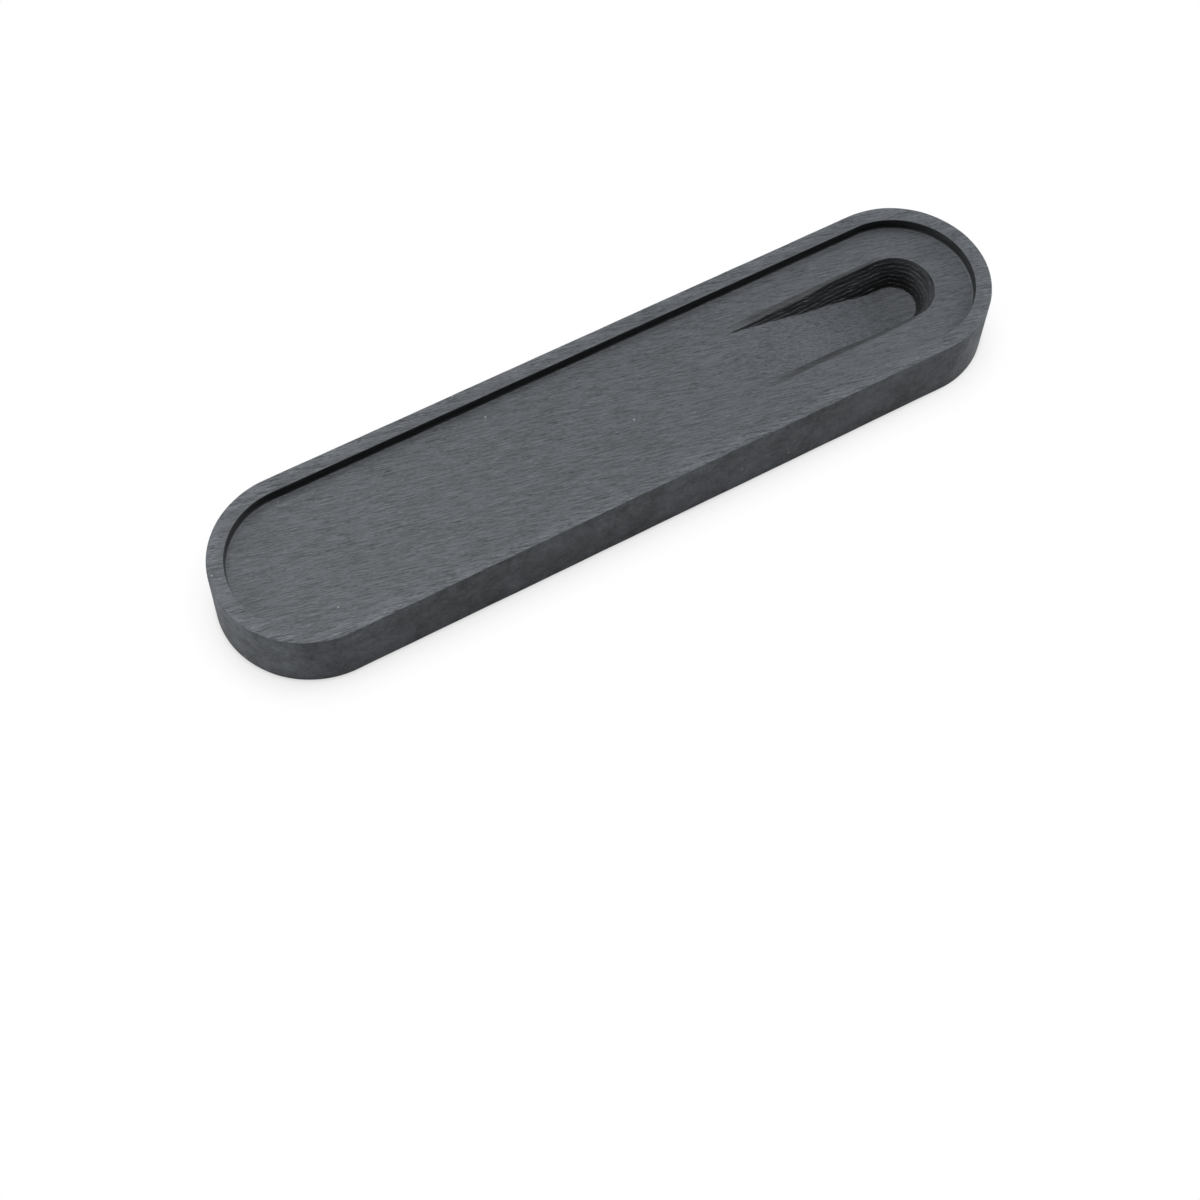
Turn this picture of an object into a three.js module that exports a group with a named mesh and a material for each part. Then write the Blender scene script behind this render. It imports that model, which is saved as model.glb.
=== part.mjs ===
// An ink stone for brush writing: a long slab of fine grey stone with round ends, carved from one block.
// A narrow rim stands round a sunk field, on which an ink stick is rubbed with water. Towards one end
// the field runs down a gentle ramp into a deep, round-ended well, where the ink gathers.
//
// Lengths are in millimetres. +Z is up, the slab lies along X with its well at +X, and the origin is the
// middle of the underside.
import * as THREE from 'three';
import { mergeVertices } from 'three/addons/utils/BufferGeometryUtils.js';

// Slab
const slabLength = 180;
const slabWidth = 40;
const slabHeight = 15;
const footRound = 0.25; // sanded edge round the underside
const brimRound = 0.25; // sanded edge outside the rim

// Rim and field
const rimWidth = 3.5;
const lipRound = 0.15; // worn edge inside the rim
const fieldDepth = 2.5;
const fieldCove = 0.15; // corner that the cutter leaves round the field

// Ink well
const wellWidth = 16.7;
const wellLength = 50.2; // from the first dip of the ramp to the far edge of the well
const wellDepth = 6.4; // below the field, at the level floor of the round end
const rampEase = 9; // run over which the field bends into the ramp
const rampLevel = 6; // run over which the ramp levels off before the round end
const wallLeanDegrees = 26; // lean of the wall from upright
const wellCove = 0.4; // corner between the ramp and the wall
const tipInset = 1; // how much narrower each side of the well is where the ramp starts
const softShoulder = 1.35; // round at the top of the wall half way down the ramp
const crispShoulder = 0.3; // the same round at both ends of the ramp
const swellStart = 6; // from the first dip to where the well widens and the shoulder turns soft
const swellLength = 12;
const fadeStart = 22; // from the first dip to where the shoulder turns crisp again
const fadeLength = 9;

// Smoothness
const endSteps = 36; // facets round each half-round end
const rampSteps = 30; // sections along the ramp
const roundSteps = 3; // facets in a small round
const coveSteps = 4; // facets in a cove or a shoulder

const halfWidth = slabWidth / 2;
const spineHalf = (slabLength - slabWidth) / 2; // the slab is all that lies within halfWidth of its spine
const fieldHalfWidth = halfWidth - rimWidth;
const fieldHeight = slabHeight - fieldDepth;
const wellHalfWidth = wellWidth / 2;
const wallPitch = THREE.MathUtils.degToRad(90 - wallLeanDegrees); // slope of the wall from level
const wellStart = spineHalf + wellHalfWidth - wellLength;
const rampRun = spineHalf - wellStart;
const rampSlope = wellDepth / (rampRun - (rampEase + rampLevel) / 2);

// How far the ramp lies below the field, a run past its first dip: a parabola along its ease, a straight
// slope, and a second parabola along which it levels off.
function rampDepth(run) {
  if (run < rampEase) return rampSlope * run * run / (2 * rampEase);
  const levelled = Math.max(run - rampRun + rampLevel, 0);
  return rampSlope * (run - rampEase / 2 - levelled * levelled / (2 * rampLevel));
}

// The edge of the well and the round at the top of its wall, a run past the first dip. The well widens while
// its shoulder turns from crisp to soft, and the shoulder is crisp again round the deep end.
function wellEdge(run) {
  const swell = THREE.MathUtils.smoothstep(run, swellStart, swellStart + swellLength);
  const fade = THREE.MathUtils.smoothstep(run, fadeStart, fadeStart + fadeLength);
  return {
    edge: wellHalfWidth - tipInset * (1 - swell),
    shoulder: THREE.MathUtils.lerp(crispShoulder, softShoulder, swell * (1 - fade)),
  };
}

// Points of an arc round (out, up), from one angle to another, both ends included.
function arc(out, up, radius, from, to, steps) {
  return Array.from({ length: steps + 1 }, (_, i) => {
    const angle = THREE.MathUtils.lerp(from, to, i / steps);
    return new THREE.Vector2(out + radius * Math.cos(angle), up + radius * Math.sin(angle));
  });
}

// The outer half section, from the middle of the underside up the side, over the rim and down to the field.
function rimProfile() {
  const quarter = Math.PI / 2;
  return [
    new THREE.Vector2(0, 0),
    ...arc(halfWidth - footRound, footRound, footRound, -quarter, 0, roundSteps),
    ...arc(halfWidth - brimRound, slabHeight - brimRound, brimRound, 0, quarter, roundSteps),
    ...arc(fieldHalfWidth + lipRound, slabHeight - lipRound, lipRound, quarter, 2 * quarter, roundSteps),
    ...arc(fieldHalfWidth - fieldCove, fieldHeight + fieldCove, fieldCove, 0, -quarter, coveSteps),
  ];
}

// The inner half section, a run past the first dip: down the wall of the well and in to the spine.
function wellProfile(run) {
  const { edge, shoulder } = wellEdge(run);
  const depth = rampDepth(run);
  const rounds = shoulder + wellCove;
  const fullDrop = rounds * (1 - Math.cos(wallPitch));
  // A shallow wall is an S of two rounds. A deeper one has a straight stretch between them.
  const pitch = depth < fullDrop ? Math.acos(1 - depth / rounds) : wallPitch;
  const straightDrop = Math.max(depth - fullDrop, 0);
  const foot = edge - rounds * Math.sin(pitch) - straightDrop / Math.tan(wallPitch);
  const top = Math.PI / 2;
  return [
    ...arc(edge, fieldHeight - shoulder, shoulder, top, top + pitch, coveSteps),
    ...arc(foot, fieldHeight - depth + wellCove, wellCove, -top + pitch, -top, coveSteps),
    new THREE.Vector2(0, fieldHeight - depth),
  ];
}

// The stations round the spine, anticlockwise: a point on the spine and the direction of the section.
function stations() {
  const ramp = Array.from({ length: rampSteps + 1 }, (_, i) =>
    THREE.MathUtils.lerp(wellStart, spineHalf, i / rampSteps));
  const along = [-spineHalf, ...ramp];
  const straight = (places, side) => places.map((x) => ({ x, cosine: 0, sine: side }));
  const roundEnd = (x, from) => Array.from({ length: endSteps - 1 }, (_, i) => {
    const angle = from + Math.PI * (i + 1) / endSteps;
    return { x, cosine: Math.cos(angle), sine: Math.sin(angle) };
  });
  return [
    ...straight(along, -1),
    ...roundEnd(spineHalf, -Math.PI / 2),
    ...straight([...along].reverse(), 1),
    ...roundEnd(-spineHalf, Math.PI / 2),
  ];
}

// One closed skin: the half section is carried once round the spine, and its two ends meet on the spine.
function carvedSlab() {
  const rim = rimProfile();
  const rings = stations().map(({ x, cosine, sine }) => {
    const run = Math.max(x - wellStart, 0);
    const section = [...rim, ...wellProfile(run)];
    return section.map((p) => new THREE.Vector3(x + p.x * cosine, p.x * sine, p.y));
  });
  const positions = [];
  const addTriangle = (a, b, c) => {
    const area = new THREE.Triangle(a, b, c).getArea();
    if (area > 0) positions.push(...a.toArray(), ...b.toArray(), ...c.toArray());
  };
  rings.forEach((ring, i) => {
    const next = rings[(i + 1) % rings.length];
    for (let j = 0; j + 1 < ring.length; j++) {
      addTriangle(ring[j], next[j], next[j + 1]);
      addTriangle(ring[j], next[j + 1], ring[j + 1]);
    }
  });
  const skin = new THREE.BufferGeometry();
  skin.setAttribute('position', new THREE.Float32BufferAttribute(positions, 3));
  const solid = mergeVertices(skin);
  solid.computeVertexNormals();
  return solid;
}

const stone = new THREE.MeshStandardMaterial({ color: 0x64676a, roughness: 0.7, metalness: 0 });

const inkStone = new THREE.Group();
const slab = new THREE.Mesh(carvedSlab(), stone);
slab.name = 'carved_slab';
inkStone.add(slab);

export default inkStone;
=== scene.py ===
"""Dresses the carved ink stone: its worked stone surface, and the pale desk, lamps and camera round it.

The slab is one skin. A half section is carried once round the slab's spine, the line between the middles of
its two round ends, and the section's height changes on the way, over the field, the ramp and the ink well.
"""

import math

import bpy
import numpy as np
from bpy.props import FloatProperty, FloatVectorProperty, PointerProperty
from mathutils import Matrix, Vector


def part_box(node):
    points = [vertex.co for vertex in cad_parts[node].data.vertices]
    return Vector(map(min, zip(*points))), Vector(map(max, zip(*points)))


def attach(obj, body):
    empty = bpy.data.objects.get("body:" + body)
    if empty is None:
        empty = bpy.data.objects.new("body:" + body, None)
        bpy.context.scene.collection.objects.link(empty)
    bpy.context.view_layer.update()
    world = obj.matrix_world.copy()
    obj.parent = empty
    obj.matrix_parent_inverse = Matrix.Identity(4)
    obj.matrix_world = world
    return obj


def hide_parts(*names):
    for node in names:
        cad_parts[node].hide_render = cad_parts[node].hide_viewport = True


bl_info = {
    "name": "Ink Stone",
    "version": (1, 0, 0),
    "blender": (4, 5, 0),
    "location": "3D View > Sidebar > Ink Stone",
    "description": "Makes a long, round-ended ink stone and the desk that it lies on",
    "category": "Object",
}

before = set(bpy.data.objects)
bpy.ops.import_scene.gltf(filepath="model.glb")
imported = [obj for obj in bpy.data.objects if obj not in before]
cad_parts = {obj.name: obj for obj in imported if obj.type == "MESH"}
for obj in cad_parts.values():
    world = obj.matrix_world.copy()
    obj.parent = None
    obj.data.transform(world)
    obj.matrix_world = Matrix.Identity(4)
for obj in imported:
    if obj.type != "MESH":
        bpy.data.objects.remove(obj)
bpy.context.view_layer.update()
slab_low, slab_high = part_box("carved_slab")

MM = 0.001
QUARTER = math.pi / 2

# How finely the skin is divided
END_STEPS = 96  # round each half-round end
PLAIN_STEPS = 60  # along each side, beside the level field
RAMP_STEPS = 126  # along each side, beside the ramp
UNDER_PLACES = (0, 0.4, 0.75, 0.95)  # of the lines of points under the slab, as shares of its half width
SIDE_POINTS = 9  # up the outer side
RIM_POINTS = 5  # across the rim's top
WALL_POINTS = 5  # down the rim's inner wall
ROUND_STEPS = 5  # across a worn edge
COVE_STEPS = 5  # across the corner round the field
FIELD_STEPS = 12  # across the field, outside the well
STEPS_PER_TERRACE = 8  # across one cutter step of the well's wall
FLOOR_STEPS = 9  # across half the well's floor
HOLD = 0.05 * MM  # a line of points this close beside a round keeps the flat next to it flat
SAME_PLACE = 0.0001 * MM  # points as close as this are one vertex
ALMOST_NOTHING = 1e-9  # stands for zero where a number is compared with it or divides by it


def length(name, description, millimetres):
    """A length that the user can change, in Blender's own unit."""
    default = millimetres * MM
    return FloatProperty(name=name, description=description, default=default, unit="LENGTH", precision=5)


def angle(name, description, degrees):
    """An angle that the user can change."""
    return FloatProperty(name=name, description=description, default=math.radians(degrees), unit="ROTATION")


def colour(name, description, value):
    """A colour that the user can change."""
    limits = {"min": 0, "max": 1}
    return FloatVectorProperty(name=name, description=description, default=value, subtype="COLOR", **limits)


def amount(name, description, value):
    """A plain number that the user can change."""
    return FloatProperty(name=name, description=description, default=value)


class InkStoneSizes(bpy.types.PropertyGroup):
    """The sizes of the stone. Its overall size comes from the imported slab."""

    rim_width: length("Rim width", "Width of the rim's flat top", 3.5)
    field_depth: length("Field depth", "How far the rubbing field lies below the rim", 2.5)
    brim_round: length("Brim round", "Worn edge outside the rim", 0.25)
    foot_round: length("Foot round", "Worn edge round the underside", 0.25)
    lip_round: length("Lip round", "Worn edge inside the rim", 0.15)
    field_cove: length("Field cove", "Corner that the cutter leaves round the field", 0.45)
    well_width: length("Well width", "Width of the ink well at the field", 16.7)
    well_length: length("Well length", "From the first dip of the ramp to the well's far edge", 50.2)
    well_depth: length("Well depth", "Depth below the field at the floor of the round end", 6.4)
    tip_inset: length("Tip inset", "How much narrower each side of the well is where the ramp starts", 1)
    ramp_ease: length("Ramp ease", "Run over which the field bends into the ramp", 9)
    ramp_level: length("Ramp level", "Run over which the ramp levels off before the round end", 6)
    well_cove: length("Well cove", "Corner between the ramp and the well's wall", 0.4)
    soft_shoulder: length("Soft shoulder", "Round at the wall's top half way down the ramp", 1.35)
    crisp_shoulder: length("Crisp shoulder", "The same round at both ends of the ramp", 0.3)
    shoulder_swell_start: length("Swell start", "From the first dip to where the shoulder softens", 6)
    shoulder_swell_length: length("Swell length", "Run over which the well and its shoulder widen", 12)
    shoulder_fade_start: length("Fade start", "From the first dip to where the soft shoulder fades", 22)
    shoulder_fade_length: length("Fade length", "Run over which the shoulder turns crisp again", 9)
    terrace_drop: length("Terrace drop", "Height from one cutter step on the wall to the next", 0.9)
    terrace_crispness: amount("Terrace crispness", "0 for a plain leaning wall, 1 for level ledges", 0.8)
    wall_lean: angle("Wall lean", "Lean of the well's wall from upright", 26)


class InkStoneFinish(bpy.types.PropertyGroup):
    """The look of the stone and of the desk under it."""

    stone_colour: colour("Stone", "Mean colour of the stone", (0.0805, 0.0885, 0.0995))
    fleck_colour: colour("Fleck", "Colour of the rare pale flecks", (0.28, 0.29, 0.30))
    fleck_share: amount("Fleck share", "Share of the cells of the fleck pattern that hold a fleck", 0.12)
    desk_colour: colour("Desk", "Colour of the desk", (0.93, 0.93, 0.93))
    white_beside: amount("White beside", "Share of the desk's white that starts close to the slab", 0.75)
    streak_turn: angle("Streak turn", "Angle of the streaks to the slab's length", 13.7)
    streak_strength: amount("Streak strength", "How much the streaks lighten and darken the stone", 0.84)
    cloud_strength: amount("Cloud strength", "How much the soft clouds lighten and darken the stone", 0.3)
    rim_streaks: amount("Rim streaks", "How much stronger the streaks are on the rim than inside it", 0.6)
    rim_tone: amount("Rim tone", "How much paler the rim's top is than the field", 0.14)
    # Painted light: the stone is drawn paler towards its ends.
    end_painted_light: amount("End painted light", "How much paler painted light makes the stone towards its ends", 0.1)
    mottle_strength: amount("Mottle strength", "How strongly the steep faces are mottled", 6.0)
    mottle_fading: amount("Mottle fading", "How much weaker the mottling is inside the rim", 0.6)
    # Painted shade: steep faces are drawn darker than flat ones, for the shade that falls on them.
    steep_painted_shade: amount("Steep painted shade", "How much darker the steep faces are than flat ones", 0.23)
    steep_roughness: amount("Steep roughness", "How much rougher the steep faces are than flat ones", 0.3)
    # Painted shade: steep faces inside the rim are drawn darker again, for the shade in the recesses,
    # varied by the cutter's marks.
    cut_painted_shade: amount("Cut painted shade", "How much darker again the steep faces inside the rim are", 0.57)
    mark_strength: amount("Mark strength", "How much the cutter's marks show on these faces", 1.8)
    # Painted shade: the rim's inner wall and the depth of the well are drawn darker, as shade falls there,
    # and the well's floor a little.
    depth_painted_shade: amount("Depth painted shade", "How much darker again the foot of the well's wall is", 0.88)
    wall_painted_shade: amount("Wall painted shade", "Share of that painted shade on the rim's inner wall", 0.6)
    floor_painted_shade: amount("Floor painted shade", "Share of that painted shade on the well's floor", 0.17)
    # Painted shade along the well's long edges.
    edge_painted_shade: amount("Edge painted shade", "How much painted shade darkens the long edges of the well", 0.6)
    # Wear and painted highlight: the rim's rounded outer edge is drawn paler.
    brim_wear_and_highlight: amount("Brim wear and highlight", "How much paler wear and a painted highlight make the rim's outer edge", 0.05)
    roughness: amount("Roughness", "Roughness of the flat faces", 0.5)
    streak_gloss: amount("Streak gloss", "How much less rough the stone is in its pale streaks", 0.1)
    reflection: amount("Reflection", "How strongly the stone reflects", 0.43)
    relief_depth: length("Relief depth", "Depth of the streaks' fine relief", 0.02)
    relief_strength: amount("Relief strength", "How much of that relief is seen", 0.6)


def wander(turn, waves, seed):
    """A smooth, closed unevenness between about -1 and 1, for turn from 0 to 1 round the slab.

    It is a sum of sines. Each has a whole number of waves round the slab, so the ends meet, and a phase of
    its own out of a seeded draw.
    """
    draw = np.random.default_rng(seed)
    phases = draw.uniform(0, 2 * math.pi, len(waves))
    sines = [np.sin(2 * math.pi * count * turn + phase) for count, phase in zip(waves, phases)]
    return sum(sines) / math.sqrt(len(waves))


class Spine:
    """Stations round the spine, anticlockwise from above: places on it and directions of the section."""

    def __init__(self, sizes):
        size = slab_high - slab_low
        self.half_width = size.y / 2
        self.height = size.z
        self.half = size.x / 2 - self.half_width
        start = self.half + sizes.well_width / 2 - sizes.well_length
        plain = np.linspace(-self.half, start, PLAIN_STEPS, endpoint=False)
        along = np.concatenate([plain, np.linspace(start, self.half, RAMP_STEPS + 1)])
        turn = np.linspace(0, math.pi, END_STEPS + 1)[1:-1]
        side = np.ones_like(along)
        well_end = np.full_like(turn, self.half)
        self.x = np.concatenate([along, well_end, along[::-1], -well_end])[:, None]
        bearing = np.concatenate([-QUARTER * side, turn - QUARTER, QUARTER * side, turn + QUARTER])[:, None]
        self.cosine = np.cos(bearing)
        self.sine = np.sin(bearing)
        self.cosine[np.abs(self.cosine) < ALMOST_NOTHING] = 0
        edge = np.concatenate([self.x + self.half_width * self.cosine, self.half_width * self.sine], axis=1)
        steps = np.linalg.norm(np.roll(edge, -1, axis=0) - edge, axis=1)
        self.turn = (np.concatenate([[0], np.cumsum(steps)[:-1]]) / steps.sum())[:, None]


def arc(out, up, radius, start, end, steps):
    """Points of an arc round (out, up) from one angle to another, one row for each station."""
    bearing = np.linspace(start, end, steps + 1)
    return out + radius * np.cos(bearing), up + radius * np.sin(bearing)


# How unevenly the edges are worn, as shares of their radius
FOOT_WEAR = 0.25
RIM_WEAR = 0.2


def outer_section(spine, sizes):
    """The half section outside the field, from the middle of the underside round to the foot of the cove.

    It is straight lines joined by quarter rounds. The radius of each worn edge wanders a little on its way
    round the slab, as hand sanding leaves it.
    """
    ones = np.ones_like(spine.turn)
    width, height = spine.half_width, spine.height
    foot = sizes.foot_round * (1 + FOOT_WEAR * wander(spine.turn, (3, 7, 16, 31), seed=1))
    brim = sizes.brim_round * (1 + RIM_WEAR * wander(spine.turn, (4, 9, 19, 43), seed=2))
    lip = sizes.lip_round * (1 + RIM_WEAR * wander(spine.turn, (5, 11, 23, 37), seed=3))
    cove = sizes.field_cove * ones
    inner = width - sizes.rim_width
    floor = height - sizes.field_depth
    under = ones * (width - sizes.foot_round) * np.array(UNDER_PLACES)
    side = foot + HOLD + (height - brim - foot - 2 * HOLD) * np.linspace(0, 1, SIDE_POINTS)
    rim = width - brim - HOLD - (width - brim - inner - lip - 2 * HOLD) * np.linspace(0, 1, RIM_POINTS)
    wall = height - lip - HOLD - (height - lip - floor - cove - 2 * HOLD) * np.linspace(0, 1, WALL_POINTS)
    rows = [
        (under, under * 0),
        arc(width - foot, foot, foot, -QUARTER, 0, ROUND_STEPS),
        (side * 0 + width, side),
        arc(width - brim, height - brim, brim, 0, QUARTER, ROUND_STEPS),
        (rim, rim * 0 + height),
        arc(inner + lip, height - lip, lip, QUARTER, 2 * QUARTER, ROUND_STEPS),
        (wall * 0 + inner, wall),
        arc(inner - cove, floor + cove, cove, 0, -QUARTER, COVE_STEPS),
    ]
    return np.concatenate([out for out, _ in rows], axis=1), np.concatenate([up for _, up in rows], axis=1)


def ramp_depth(run, ease, slope, level, end):
    """Depth of the ramp below the field.

    It is a parabola along its ease, a straight slope after that, and levels off along a second parabola.
    """
    run = np.maximum(run, 0)
    depth = np.where(run < ease, slope * run * run / (2 * ease), slope * (run - ease / 2))
    levelled = np.clip(run - end + level, 0, level)
    past_end = np.maximum(run - end, 0)
    return depth - slope * levelled**2 / (2 * level) - slope * past_end


def well_floor(spine, sizes):
    """Depth of the ramp below the field for every station. It is level by the middle of the round end."""
    start = spine.half + sizes.well_width / 2 - sizes.well_length
    slope = sizes.well_depth / (spine.half - start - (sizes.ramp_ease + sizes.ramp_level) / 2)
    return ramp_depth(spine.x - start, sizes.ramp_ease, slope, sizes.ramp_level, spine.half - start)


def eased(run, start, span):
    """0 before start and 1 from start + span on, with a smooth step between them."""
    share = np.clip((run - start) / span, 0, 1)
    return share * share * (3 - 2 * share)


def well_wall(spine, sizes, out):
    """Depth of the well's wall below the field without the ramp, for every station and distance out.

    A shoulder arc turns into a straight leaning wall. The shoulder is crisp where the ramp starts, grows
    outward and soft half way down, and is crisp again round the deep end.
    """
    half = sizes.well_width / 2
    pitch = QUARTER - sizes.wall_lean
    run = spine.x - (spine.half + half - sizes.well_length)
    swell = eased(run, sizes.shoulder_swell_start, sizes.shoulder_swell_length)
    fade = eased(run, sizes.shoulder_fade_start, sizes.shoulder_fade_length)
    shoulder = sizes.crisp_shoulder + (sizes.soft_shoulder - sizes.crisp_shoulder) * swell * (1 - fade)
    inward = np.clip(half - sizes.tip_inset * (1 - swell) - out, 0, None)
    arc_run = shoulder * math.sin(pitch)
    on_arc = shoulder - np.sqrt(np.maximum(shoulder**2 - np.minimum(inward, arc_run) ** 2, 0))
    return on_arc + np.maximum(inward - arc_run, 0) * math.tan(pitch)


LEDGE_WEAR = 0.22  # how unevenly the ledges are worn down, as a share of their height
LEDGE_DRIFT = 0.16  # how far the ledges wander up and down, as a share of the drop between them


def cutter_steps(spine, sizes, wall):
    """How far the cutter's steps lift the well's wall, for each depth on it.

    The cutter went round level by level, so the wall is a worn stair: a sine of the depth flattens it to a
    ledge at every terrace drop and makes it steeper between. Each ledge wanders up and down and crumbles in
    its own way on its round. The steps fade in over the shoulder.
    """
    count = math.ceil(wall.max() / sizes.terrace_drop) + 2
    worn = [1 + LEDGE_WEAR * wander(spine.turn, (23, 67, 113, 191, 283), seed=20 + i) for i in range(count)]
    drift = [LEDGE_DRIFT * wander(spine.turn, (17, 41, 79, 127, 241), seed=60 + i) for i in range(count)]
    worn, drift = np.concatenate(worn, axis=1), np.concatenate(drift, axis=1)
    level = wall / sizes.terrace_drop
    nearest = np.rint(level).astype(int)
    level = level + np.take_along_axis(drift, nearest, axis=1)
    fade = np.clip(2 * level - 0.3, 0, 1) * np.take_along_axis(worn, nearest, axis=1)
    height = sizes.terrace_drop * sizes.terrace_crispness / (2 * math.pi)
    return height * fade * np.sin(2 * math.pi * level)


def softly_higher(first, second, blend):
    """The higher of two heights, with the corner filled where they are within blend of each other."""
    share = np.clip(0.5 + 0.5 * (first - second) / blend, 0, 1)
    return second + (first - second) * share + blend * share * (1 - share)


COVE_BLEND = 0.67  # blend of the wall and the ramp, against the radius of the cove that it makes
SHALLOW_BLEND = 0.8  # the most that the blend may be, against the ramp's depth


def inner_section(spine, sizes):
    """The half section inside the cove, in to the spine: the field, the well's wall and the ramp.

    The wall and the ramp are two heights at each distance out, and the surface is the higher of them, with
    a small cove where they meet.
    """
    field_half = spine.half_width - sizes.rim_width - sizes.field_cove
    half = sizes.well_width / 2
    run_a_step = sizes.terrace_drop * math.tan(sizes.wall_lean)
    terraces = math.ceil(sizes.well_depth / sizes.terrace_drop) + 1
    band = run_a_step * terraces
    field = np.linspace(field_half - HOLD, half + HOLD, FIELD_STEPS)
    wall = np.linspace(half, half - band, terraces * STEPS_PER_TERRACE + 1)
    floor = np.linspace(half - band, 0, FLOOR_STEPS + 1)[1:]
    out = np.concatenate([field, wall, floor])[None, :] * np.ones_like(spine.turn)
    floor_depth = well_floor(spine, sizes)
    wall_depth = well_wall(spine, sizes, out)
    wall_height = cutter_steps(spine, sizes, wall_depth) - wall_depth
    blend = np.clip(COVE_BLEND * sizes.well_cove, 0, SHALLOW_BLEND * floor_depth) + ALMOST_NOTHING
    inside = softly_higher(wall_height, -floor_depth, blend)
    return out, spine.height - sizes.field_depth + np.minimum(inside, 0)


def skin(spine, out, up):
    """Vertices and faces of the closed skin, from the rows of the section at every station.

    A vertex lies at the station's place on the spine, plus its distance out along the station's direction.
    Points that fall together on the spine are one vertex, and a face that loses a side there is a triangle.
    """
    place = np.stack([spine.x + out * spine.cosine, out * spine.sine, up], axis=-1)
    stations, points = out.shape
    rounded = np.round(place.reshape(-1, 3) / SAME_PLACE)
    _, first, same = np.unique(rounded, axis=0, return_index=True, return_inverse=True)
    grid = same.reshape(stations, points)
    following = np.roll(grid, -1, axis=0)
    corners = [grid[:, :-1], following[:, :-1], following[:, 1:], grid[:, 1:]]
    quads = np.stack(corners, axis=-1).reshape(-1, 4)
    repeats = quads == np.roll(quads, -1, axis=1)
    whole = quads[~repeats.any(axis=1)]
    pinched = quads[repeats.sum(axis=1) == 1]
    keep = ~repeats[repeats.sum(axis=1) == 1]
    triangles = pinched[keep].reshape(-1, 3)
    return place.reshape(-1, 3)[first], whole.tolist() + triangles.tolist()


def make_mesh(name, vertices, faces):
    """A smooth-shaded mesh object from arrays, linked to the scene."""
    mesh = bpy.data.meshes.new(name)
    mesh.from_pydata(vertices.tolist(), [], faces)
    mesh.shade_smooth()
    mesh.update()
    made = bpy.data.objects.new(name, mesh)
    bpy.context.scene.collection.objects.link(made)
    return made


NODE_STEP = 190  # from one shader node to the next in a row


class Row:
    """A row of shader nodes, added from left to right and joined up on the way."""

    def __init__(self, tree, left, top):
        self.tree = tree
        self.left = left
        self.top = top

    def add(self, kind, inputs=None, **settings):
        """A node at the end of the row. Inputs go by name or place, as sockets or plain values."""
        made = self.tree.nodes.new(kind)
        made.location = (self.left, self.top)
        self.left += NODE_STEP
        for name, value in settings.items():
            setattr(made, name, value)
        for name, value in (inputs or {}).items():
            if isinstance(value, bpy.types.NodeSocket):
                self.tree.links.new(value, made.inputs[name])
            else:
                made.inputs[name].default_value = value
        return made

    def calc(self, operation, *values):
        """The result of a math node."""
        return self.add("ShaderNodeMath", dict(enumerate(values)), operation=operation).outputs[0]

    def plus(self, total, *others):
        """The sum of the values."""
        for other in others:
            total = self.calc("ADD", total, other)
        return total

    def times(self, total, *others):
        """The product of the values."""
        for other in others:
            total = self.calc("MULTIPLY", total, other)
        return total

    def rest(self, value):
        """1 minus the value."""
        return self.calc("SUBTRACT", 1.0, value)

    def smooth(self, value, low, high):
        """0 below low and 1 above high, with a smooth step between. Low may be the larger of the two."""
        inputs = {"Value": value, "From Min": low, "From Max": high}
        return self.add("ShaderNodeMapRange", inputs, interpolation_type="SMOOTHSTEP").outputs["Result"]

    def noise(self, place, scale, detail, roughness):
        """Noise round 0 whose features are 1 / scale metres long on each axis."""
        drawn = self.add("ShaderNodeMapping", {"Vector": place, "Scale": scale}).outputs["Vector"]
        inputs = {"Vector": drawn, "Scale": 1.0, "Detail": detail, "Roughness": roughness}
        return self.calc("SUBTRACT", self.add("ShaderNodeTexNoise", inputs).outputs["Fac"], 0.5)


def new_group(name, inputs, outputs):
    """An empty shader group. Inputs are (name, kind, default), outputs are (name, kind)."""
    tree = bpy.data.node_groups.new(name, "ShaderNodeTree")
    for socket, kind, default in inputs:
        made = tree.interface.new_socket(socket, in_out="INPUT", socket_type=kind)
        if default is not None:
            made.default_value = default
    for socket, kind in outputs:
        tree.interface.new_socket(socket, in_out="OUTPUT", socket_type=kind)
    return tree


def new_material(name):
    """A material with no nodes."""
    made = bpy.data.materials.new(name)
    made.use_nodes = True
    made.node_tree.nodes.clear()
    return made


def distance_group():
    """How far a place lies from the slab's spine, seen from above.

    It is the length of (the distance past the spine's end along X, the distance along Y). The stone and
    the desk share the group.
    """
    name = "Distance From Spine"
    if name in bpy.data.node_groups:
        return bpy.data.node_groups[name]
    inputs = [("Place", "NodeSocketVector", None), ("Half Spine", "NodeSocketFloat", 0.07)]
    tree = new_group(name, inputs, [("Distance", "NodeSocketFloat")])
    row = Row(tree, 0, 0)
    given = row.add("NodeGroupInput").outputs
    place = row.add("ShaderNodeSeparateXYZ", {0: given["Place"]}).outputs
    past = row.calc("SUBTRACT", row.calc("ABSOLUTE", place["X"]), given["Half Spine"])
    past = row.calc("MAXIMUM", past, 0.0)
    squares = row.plus(row.times(past, past), row.times(place["Y"], place["Y"]))
    row.add("NodeGroupOutput", {"Distance": row.calc("SQRT", squares)})
    return tree


def distance_from_spine(row, place, half_spine):
    """The distance group's result for a place, in a material."""
    inputs = {"Place": place, "Half Spine": half_spine}
    return row.add("ShaderNodeGroup", inputs, node_tree=distance_group()).outputs["Distance"]


# Noises of the streaks: features per metre along the streaks, across them and up, detail and roughness
HAIR = ((950, 6000, 6000), 1, 0.6)
DASH = ((280, 3500, 3500), 1, 0.6)
BROAD = ((90, 420, 420), 3, 0.6)
PATCH = ((150, 500, 500), 1, 0.5)
BEND = ((330, 330, 330), 2, 0.5)

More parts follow.
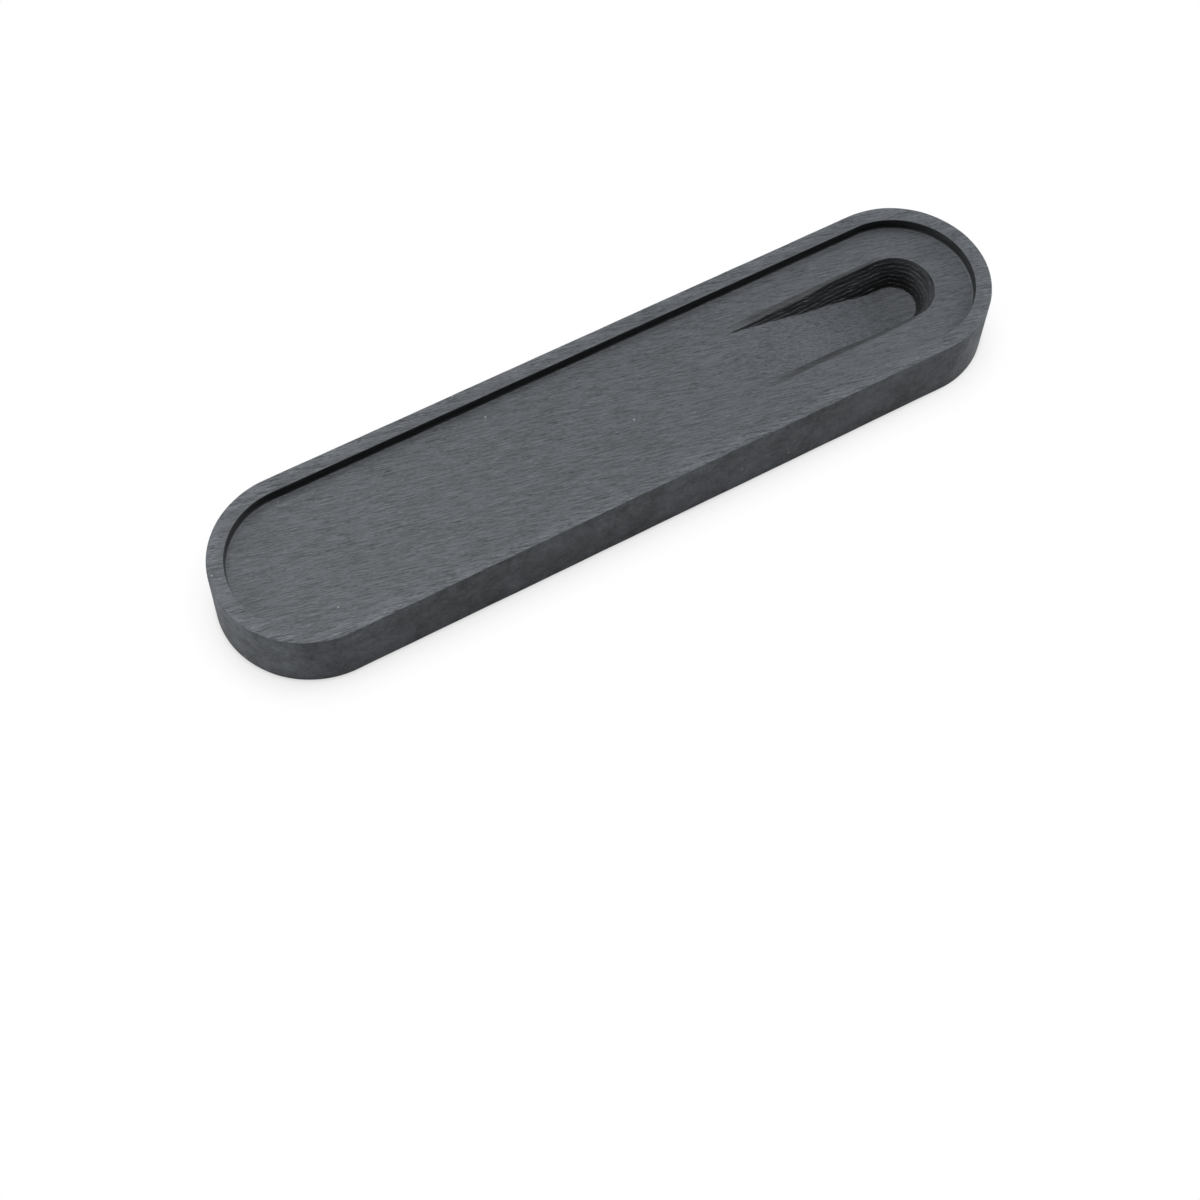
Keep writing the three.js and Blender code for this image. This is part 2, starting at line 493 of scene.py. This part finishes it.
# The stone's other noises: features per metre along X, Y and Z, detail and roughness
CLOUD = ((70, 70, 70), 4, 0.55)
MOTTLE = ((60, 60, 60), 8, 0.95)
MARKS = ((160, 160, 1700), 2, 0.6)

# How the streaks are mixed, against the hair-fine ones
DASH_SHARE = 1.1
BROAD_SHARE = 0.25
PATCH_MEAN = 1.75
PATCH_CONTRAST = 1.8

LEAST_LEVEL = 0.25  # the darkest that streaks and mottling make the stone, against its mean
# The largest share of the stone's brightness that the painted shade and the cutter's marks on cut faces
# take.
DARKEST_CUT_SHADE = 0.9  # the largest share of the stone's brightness that the cutter's marks take

# The upward part of the normal, up to which a face counts as steep and from which it counts as flat
STEEP_TO = 0.7
FLAT_FROM = 0.96

FLECK_CELLS = 260.0  # cells of the fleck pattern in a metre
FLECK_EDGE = (0.09, 0.03)  # where a fleck starts and is full, as distances from the middle of its cell


def streak_group():
    """Short, slightly wavy streaks of the worked stone, all in one direction, as values round 0.

    Noise is drawn out along the streaks in three layers, from hair-fine to broad, and the fine ones are
    stronger in some patches than in others. Slow noise bends the place sideways first, which makes the
    streaks wave.
    """
    inputs = [
        ("Place", "NodeSocketVector", None),
        ("Turn", "NodeSocketFloat", 0.24),
        ("Wave", "NodeSocketFloat", 0.3 * MM),
    ]
    tree = new_group("Stone Streaks", inputs, [("Streak", "NodeSocketFloat"), ("Hair", "NodeSocketFloat")])
    row = Row(tree, 0, 0)
    given = row.add("NodeGroupInput").outputs
    turning = {"Vector": given["Place"], "Angle": given["Turn"]}
    turned = row.add("ShaderNodeVectorRotate", turning, rotation_type="Z_AXIS").outputs["Vector"]
    bend = row.times(row.noise(turned, *BEND), given["Wave"])
    aside = row.add("ShaderNodeCombineXYZ", {"Y": bend}).outputs[0]
    place = row.add("ShaderNodeVectorMath", {0: turned, 1: aside}, operation="ADD").outputs["Vector"]
    hair = Row(tree, row.left, 600).noise(place, *HAIR)
    dash = Row(tree, row.left, 300).noise(place, *DASH)
    broad = Row(tree, row.left, -300).noise(place, *BROAD)
    patch = Row(tree, row.left, -600).noise(place, *PATCH)
    mix = Row(tree, row.left + 4 * NODE_STEP, 0)
    fine = mix.plus(hair, mix.times(dash, DASH_SHARE))
    fine = mix.times(fine, mix.plus(mix.times(patch, PATCH_CONTRAST), PATCH_MEAN))
    streak = mix.plus(fine, mix.times(broad, BROAD_SHARE))
    mix.add("NodeGroupOutput", {"Streak": streak, "Hair": fine})
    return tree


class StonePlaces:
    """Where a point of the stone lies and how it faces, as sockets of the stone's material.

    Flat is 1 on the faces that look up and steep on all the others. On field grows from 0 near the brim to
    1 just inside the rim, and within does so across the middle of the rim.
    """

    def __init__(self, tree, sizes, spine):
        row = Row(tree, -3000, 0)
        given = row.add("ShaderNodeTexCoord").outputs
        self.place = given["Object"]
        parts = row.add("ShaderNodeSeparateXYZ", {0: self.place}).outputs
        self.along, self.height = parts["X"], parts["Z"]
        facing = row.add("ShaderNodeSeparateXYZ", {0: given["Normal"]}).outputs["Z"]
        self.flat = row.smooth(facing, STEEP_TO, FLAT_FROM)
        self.steep = row.rest(self.flat)
        self.distance = distance_from_spine(row, self.place, spine.half)
        brim, rim = spine.half_width, sizes.rim_width
        self.on_field = row.smooth(self.distance, brim - 0.3 * rim, brim - 1.2 * rim)
        self.within = row.smooth(self.distance, brim - 0.3 * rim, brim - 0.7 * rim)


def worked_texture(tree, stone, streak, finish):
    """Streaks and soft clouds on the flat faces, and mottling on the steep ones, as a value round 0.

    The streaks are stronger on the rim than on the field, and the mottling is weaker inside the rim.
    """
    row = Row(tree, -1500, 600)
    more_on_rim = row.times(row.rest(stone.on_field), finish.rim_streaks)
    strength = row.times(row.plus(more_on_rim, 1.0), finish.streak_strength)
    cloud = row.noise(stone.place, *CLOUD)
    drawn = row.plus(row.times(streak, strength), row.times(cloud, finish.cloud_strength))
    row = Row(tree, -1500, 900)
    mottle = row.noise(stone.place, *MOTTLE)
    unfaded = row.rest(row.times(stone.on_field, finish.mottle_fading))
    mottle = row.times(mottle, unfaded, finish.mottle_strength)
    return row.plus(row.times(drawn, stone.flat), row.times(mottle, stone.steep))


def light_kept(tree, stone, finish, sizes, spine):
    """The share of its brightness that the stone keeps under painted shade on steep, cut and deep faces.

    Painted shade makes steep faces a little darker, and inside the rim darker again, with level marks of
    the cutter. It darkens the rim's inner wall and the depth of the well, but the well's flat floor only a
    little, and the well's long edges.
    """
    row = Row(tree, -1500, -300)
    # Painted shade on the steep faces inside the rim, varied by the level marks of the cutter.
    marks = row.times(row.noise(stone.place, *MARKS), finish.mark_strength)
    cut_shade_and_marks = row.plus(marks, finish.cut_painted_shade)
    cut_shade_and_marks = row.calc("MINIMUM", row.calc("MAXIMUM", cut_shade_and_marks, 0.0), DARKEST_CUT_SHADE)
    # Painted shade on the steep faces.
    plain = row.rest(row.times(stone.steep, finish.steep_painted_shade))
    kept = row.times(plain, row.rest(row.times(cut_shade_and_marks, stone.within, stone.steep)))

    # Painted shade on the rim's inner wall and in the depth of the well.
    row = Row(tree, -1500, -600)
    field = spine.height - sizes.field_depth
    wall_foot, wall_clear = field + 0.05 * MM, field + 0.4 * MM
    on_wall = row.times(row.smooth(stone.height, wall_foot, wall_clear), finish.wall_painted_shade)
    in_depth = row.smooth(stone.height, field - 0.3 * sizes.well_depth, field - sizes.well_depth)
    painted_shade_in_depth = row.times(row.calc("MAXIMUM", on_wall, in_depth), finish.depth_painted_shade, stone.within)
    painted_shade_in_depth = row.times(painted_shade_in_depth, row.plus(row.times(stone.steep, 1 - finish.floor_painted_shade), finish.floor_painted_shade))
    return row.times(kept, row.rest(painted_shade_in_depth), row.rest(long_edge_painted_shade(tree, stone, finish, sizes, spine)))


def long_edge_painted_shade(tree, stone, finish, sizes, spine):
    """The painted shade along the well's long edges. It fades in past the ramp's start and out by the round
    end.
    """
    row = Row(tree, -1500, -900)
    edge = sizes.well_width / 2
    outside = row.smooth(stone.distance, edge + 0.8 * MM, edge + 0.2 * MM)
    inside = row.smooth(stone.distance, edge - 1.6 * MM, edge - 0.3 * MM)
    start = spine.half + edge - sizes.well_length
    after_start = row.smooth(stone.along, start + 2 * MM, start + 12 * MM)
    before_end = row.smooth(stone.along, spine.half + 3 * MM, spine.half - 3 * MM)
    return row.times(outside, inside, after_start, before_end, finish.edge_painted_shade)


def paler_parts(tree, stone, finish, sizes, spine):
    """How much paler than the field the stone is: painted light at its ends, a paler rim top, and wear with
    a painted highlight along the brim.
    """
    row = Row(tree, -1500, -1200)
    # Painted light towards the ends.
    painted_light_ends = row.smooth(row.calc("ABSOLUTE", stone.along), 0.4 * spine.half, 1.2 * spine.half)
    top = row.smooth(stone.height, spine.height - 0.5 * MM, spine.height - 0.1 * MM)
    # Wear with a painted highlight on the rounded brim.
    row = Row(tree, -1500, -1500)
    round_size = sizes.brim_round
    out = row.smooth(stone.distance, spine.half_width - 2 * round_size, spine.half_width - 0.5 * round_size)
    up = row.smooth(stone.height, spine.height - 2 * round_size, spine.height - 0.8 * round_size)
    brim = row.times(out, up, finish.brim_wear_and_highlight)
    return row.plus(row.times(painted_light_ends, finish.end_painted_light), row.times(top, finish.rim_tone), brim)


def pale_flecks(tree, stone, finish):
    """1 in the rare pale flecks, each in the middle of a cell of a random pattern, and 0 elsewhere."""
    row = Row(tree, -1500, 1200)
    cells = row.add("ShaderNodeTexVoronoi", {"Vector": stone.place, "Scale": FLECK_CELLS}).outputs
    draw = row.add("ShaderNodeSeparateColor", {0: cells["Color"]}).outputs["Red"]
    chosen = row.calc("GREATER_THAN", draw, 1 - finish.fleck_share)
    return row.times(row.smooth(cells["Distance"], *FLECK_EDGE), chosen)


def stone_material(finish, sizes, spine):
    """Fine grey stone, a little paler towards its ends with painted light.

    Streaks and soft clouds cover the faces that were rubbed flat. The steep faces are mottled, rougher and
    darker with painted shade, and inside the rim they bear more painted shade and the level marks of the
    cutter. Painted shade also darkens the rim's inner wall, the depth of the well and its long edges. The
    brim is worn a little paler, with a painted highlight, and rare pale flecks lie in the stone.
    """
    made = new_material("Fine Grey Stone")
    tree = made.node_tree
    stone = StonePlaces(tree, sizes, spine)
    row = Row(tree, 900, 0)
    inputs = {"Place": stone.place, "Turn": finish.streak_turn}
    streaks = Row(tree, -1800, 300).add("ShaderNodeGroup", inputs, node_tree=streak_group()).outputs
    texture = worked_texture(tree, stone, streaks["Streak"], finish)
    paler = paler_parts(tree, stone, finish, sizes, spine)
    level = row.calc("MAXIMUM", row.plus(texture, paler, 1.0), LEAST_LEVEL)
    level = row.times(level, light_kept(tree, stone, finish, sizes, spine))
    grey = row.add("ShaderNodeVectorMath", {0: finish.stone_colour, "Scale": level}, operation="SCALE")
    flecks = {0: pale_flecks(tree, stone, finish), 6: grey.outputs["Vector"], 7: (*finish.fleck_colour, 1)}
    tinted = row.add("ShaderNodeMix", flecks, data_type="RGBA").outputs[2]

    relief = {"Strength": finish.relief_strength, "Distance": finish.relief_depth}
    relief["Height"] = row.times(streaks["Hair"], stone.flat)
    surface = {"Base Color": tinted, "Specular IOR Level": finish.reflection}
    surface["Normal"] = row.add("ShaderNodeBump", relief).outputs["Normal"]
    smoother = row.times(streaks["Hair"], -finish.streak_gloss)
    rougher = row.times(stone.steep, finish.steep_roughness)
    surface["Roughness"] = row.plus(smoother, rougher, finish.roughness)
    shader = row.add("ShaderNodeBsdfPrincipled", surface).outputs["BSDF"]
    row.add("ShaderNodeOutputMaterial", {"Surface": shader})
    return made


class INKSTONE_OT_carved_slab(bpy.types.Operator):
    """Makes the carved slab with its rim, field, ramp and ink well"""

    bl_idname = "inkstone.carved_slab"
    bl_label = "Carved Slab"

    def execute(self, context):
        sizes = context.scene.ink_stone_sizes
        spine = Spine(sizes)
        outer = outer_section(spine, sizes)
        inner = inner_section(spine, sizes)
        out = np.concatenate([outer[0], inner[0]], axis=1)
        up = np.concatenate([outer[1], inner[1]], axis=1)
        vertices, faces = skin(spine, out, up)
        slab = make_mesh("carved_stone", vertices, faces)
        slab.data.materials.append(stone_material(context.scene.ink_stone_finish, sizes, spine))
        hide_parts("carved_slab")
        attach(slab, "root")
        return {"FINISHED"}


# Where the desk's white fades in, outwards from the slab's edge
BESIDE_FADE = (-2 * MM, 1 * MM)
BEYOND_FADE = (-1 * MM, 8 * MM)


def desk_material(finish, half_spine, half_width):
    """A plain pale desk that fades into even white away from the slab and keeps the slab's shadow.

    The white is seen by the camera, in glosses and through clear things, and lights nothing else. Most of
    it fades in right beside the slab, and the rest over the width of the slab's soft shadow.
    """
    made = new_material("Pale Desk")
    row = Row(made.node_tree, 0, 0)
    place = row.add("ShaderNodeTexCoord").outputs["Object"]
    distance = distance_from_spine(row, place, half_spine)
    beside = row.smooth(distance, half_width + BESIDE_FADE[0], half_width + BESIDE_FADE[1])
    beyond = row.smooth(distance, half_width + BEYOND_FADE[0], half_width + BEYOND_FADE[1])
    fade = row.plus(row.times(beside, finish.white_beside), row.times(beyond, 1 - finish.white_beside))
    rays = row.add("ShaderNodeLightPath").outputs
    seen = row.calc("MAXIMUM", rays["Is Camera Ray"], rays["Is Glossy Ray"])
    seen = row.calc("MAXIMUM", seen, rays["Is Transmission Ray"])
    desk = row.add("ShaderNodeBsdfDiffuse", {"Color": (*finish.desk_colour, 1)}).outputs[0]
    white = row.add("ShaderNodeEmission", {"Strength": 1.0}).outputs[0]
    mixed = row.add("ShaderNodeMixShader", {0: row.times(seen, fade), 1: desk, 2: white}).outputs[0]
    row.add("ShaderNodeOutputMaterial", {"Surface": mixed})
    return made


def make_desk(finish):
    """A wide flat desk just under the slab, with upright screens far round it that fill the low views."""
    reach = 3.0
    screen_height = 1.0
    low = np.array([(-reach, -reach, 0), (reach, -reach, 0), (reach, reach, 0), (-reach, reach, 0)])
    high = low + (0, 0, screen_height)
    screens = [[i + 4, i + 8, (i + 1) % 4 + 8, (i + 1) % 4 + 4] for i in range(4)]
    desk = make_mesh("desk", np.concatenate([low, low, high]), [[0, 1, 2, 3]] + screens)
    size = slab_high - slab_low
    desk.data.materials.append(desk_material(finish, (size.x - size.y) / 2, size.y / 2))


WORLD_STRENGTH = 0.02


def make_world():
    """Faint even light from all round."""
    world = bpy.data.worlds.new("Studio")
    bpy.context.scene.world = world
    world.use_nodes = True
    world.node_tree.nodes.clear()
    row = Row(world.node_tree, 0, 0)
    light = row.add("ShaderNodeBackground", {"Color": (1, 1, 1, 1), "Strength": WORLD_STRENGTH}).outputs[0]
    row.add("ShaderNodeOutputWorld", {"Surface": light})


LAMP_DISTANCE = 1.2

# Soft lamps: azimuth from +Y towards +X and elevation in degrees, side of the square in metres, and the
# share of the light on a level face
LAMPS = {
    "overhead_lamp": (0, 87, 0.42, 0.36),
    "back_lamp": (0, 60, 0.45, 0.195),
    "right_high_lamp": (90, 60, 0.45, 0.115),
    "right_lamp": (90, 25, 0.40, 0.13),
    "right_low_lamp": (90, 9, 0.30, 0.065),
    "left_lamp": (320, 25, 0.40, 0.06),
    "left_low_lamp": (290, 9, 0.30, 0.075),
}


def make_lamp(name, azimuth, elevation, side, share):
    """A square soft lamp that faces the slab and gives a level white face this share of full brightness.

    A lamp of W watts at distance d lights a face square to it with W / (pi d^2), and a white face that
    gets pi looks fully white. A level face gets less, by the sine of the lamp's elevation.
    """
    turn, tilt = math.radians(azimuth), math.radians(elevation)
    towards = Vector((math.sin(turn) * math.cos(tilt), math.cos(turn) * math.cos(tilt), math.sin(tilt)))
    light = bpy.data.lights.new(name, "AREA")
    light.shape = "SQUARE"
    light.size = side
    light.energy = share * (math.pi * LAMP_DISTANCE) ** 2 / math.sin(tilt)
    lamp = bpy.data.objects.new(name, light)
    lamp.location = towards * LAMP_DISTANCE
    lamp.rotation_mode = "QUATERNION"
    lamp.rotation_quaternion = towards.to_track_quat("Z", "Y")
    bpy.context.scene.collection.objects.link(lamp)


# The camera of the photograph, in metres and degrees
CAMERA_PLACE = (-0.1403, -0.2196, 0.3926)
CAMERA_AIM = (-0.0203, -0.0297, 0.0)
CAMERA_ROLL = 2.70
CAMERA_LENS = 66.84


def make_camera():
    """The camera of the photograph, which looks at its aim with a slight roll."""
    data = bpy.data.cameras.new("camera")
    data.sensor_fit = "HORIZONTAL"
    data.sensor_width = 36
    data.lens = CAMERA_LENS
    data.clip_start = 0.01
    data.clip_end = 20
    camera = bpy.data.objects.new("camera", data)
    place, aim = Vector(CAMERA_PLACE), Vector(CAMERA_AIM)
    look = (aim - place).to_track_quat("-Z", "Y").to_matrix().to_4x4()
    roll = Matrix.Rotation(math.radians(CAMERA_ROLL), 4, "Z")
    camera.matrix_world = Matrix.Translation(place) @ look @ roll
    bpy.context.scene.collection.objects.link(camera)
    bpy.context.scene.camera = camera


class INKSTONE_OT_stage(bpy.types.Operator):
    """Makes the pale desk, the soft lamps and the camera"""

    bl_idname = "inkstone.stage"
    bl_label = "Desk, Lamps and Camera"

    def execute(self, context):
        context.scene.view_settings.view_transform = "Standard"
        make_desk(context.scene.ink_stone_finish)
        make_world()
        for name, (azimuth, elevation, side, share) in LAMPS.items():
            make_lamp(name, azimuth, elevation, side, share)
        make_camera()
        return {"FINISHED"}


class INKSTONE_PT_panel(bpy.types.Panel):
    """Lists the operators and the sizes in the sidebar"""

    bl_idname = "INKSTONE_PT_panel"
    bl_label = "Ink Stone"
    bl_space_type = "VIEW_3D"
    bl_region_type = "UI"
    bl_category = "Ink Stone"

    def draw(self, context):
        for operator in OPERATORS:
            self.layout.operator(operator.bl_idname)
        for group in (context.scene.ink_stone_sizes, context.scene.ink_stone_finish):
            for name in group.__annotations__:
                self.layout.prop(group, name)


OPERATORS = (INKSTONE_OT_stage, INKSTONE_OT_carved_slab)
CLASSES = (InkStoneSizes, InkStoneFinish, *OPERATORS, INKSTONE_PT_panel)


def register():
    for each in CLASSES:
        bpy.utils.register_class(each)
    bpy.types.Scene.ink_stone_sizes = PointerProperty(type=InkStoneSizes)
    bpy.types.Scene.ink_stone_finish = PointerProperty(type=InkStoneFinish)


def unregister():
    del bpy.types.Scene.ink_stone_finish
    del bpy.types.Scene.ink_stone_sizes
    for each in reversed(CLASSES):
        bpy.utils.unregister_class(each)


def main():
    register()
    bpy.ops.inkstone.stage()
    bpy.ops.inkstone.carved_slab()


if __name__ == "__main__":
    main()
